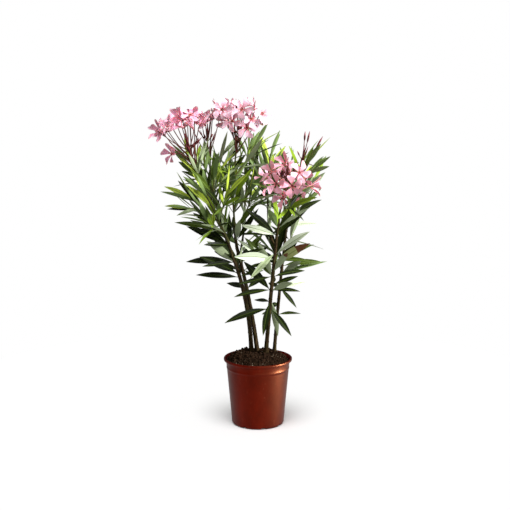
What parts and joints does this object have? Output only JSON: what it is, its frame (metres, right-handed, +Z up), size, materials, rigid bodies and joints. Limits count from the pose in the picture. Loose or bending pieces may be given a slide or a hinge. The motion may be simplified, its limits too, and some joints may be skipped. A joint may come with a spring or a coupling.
{
  "type": "potted oleander",
  "caption": "Flowering oleander shrub in a round nursery pot: slender stems, boughs, masses of lance-shaped leaves and pink flower heads, standing on the pot's flat underside.",
  "frame": {"origin": "centre of the pot's flat underside, at floor level", "axes": "+Z up along the pot's axis, -Y towards the front of the plant, +X to the right seen from the front"},
  "size_m": [0.5018, 0.4394, 0.95],
  "materials": {
    "pot_plastic": "glossy red-brown polypropylene with faint mould rings",
    "soil": "dark damp crumbly compost",
    "bark": "brown-olive young bark with leaf scars and pores",
    "leaf": "leathery dark green lance leaves with a pale midrib and a paler underside",
    "petal": "soft pale pink petals with a deeper throat"
  },
  "bodies": {
    "root": {"pot": "pot_plastic", "soil": "soil", "stem_left": "bark", "stem_centre": "bark", "stem_right_front": "bark", "stem_right_back": "bark", "bough_left": "bark", "bough_inner": "bark", "bough_front": "bark", "bough_centre": "bark", "bough_rear": "bark", "bough_right": "bark", "bough_mid": "bark", "bough_far_right": "bark", "bough_outer": "bark", "foliage_left": "leaf", "foliage_inner": "leaf", "foliage_front": "leaf", "foliage_centre": "leaf", "foliage_rear": "leaf", "foliage_mid": "leaf", "foliage_right": "leaf", "foliage_far_right": "leaf", "foliage_outer": "leaf", "leaves_stem_left_1": "leaf", "leaves_stem_left_2": "leaf", "leaves_stem_left_3": "leaf", "leaves_bough_left_1": "leaf", "leaves_bough_left_2": "leaf", "leaves_bough_inner_1": "leaf", "leaves_bough_front_1": "leaf", "leaves_stem_centre_1": "leaf", "leaves_stem_centre_2": "leaf", "leaves_stem_centre_3": "leaf", "leaves_bough_centre_1": "leaf", "leaves_bough_centre_2": "leaf", "leaves_bough_rear_1": "leaf", "leaves_bough_rear_2": "leaf", "leaves_stem_right_front_1": "leaf", "leaves_stem_right_front_2": "leaf", "leaves_stem_right_front_3": "leaf", "leaves_stem_right_front_4": "leaf", "leaves_stem_right_front_5": "leaf", "leaves_stem_right_front_6": "leaf", "leaves_stem_right_front_7": "leaf", "leaves_stem_right_front_8": "leaf", "leaves_stem_right_front_9": "leaf", "leaves_bough_right_1": "leaf", "leaves_bough_right_2": "leaf", "leaves_bough_mid_1": "leaf", "leaves_stem_right_back_1": "leaf", "leaves_stem_right_back_2": "leaf", "leaves_stem_right_back_3": "leaf", "leaves_stem_right_back_4": "leaf", "leaves_stem_right_back_5": "leaf", "leaves_bough_far_right_1": "leaf", "leaves_bough_far_right_2": "leaf", "leaves_bough_outer_1": "leaf"}
  },
  "joints": []
}
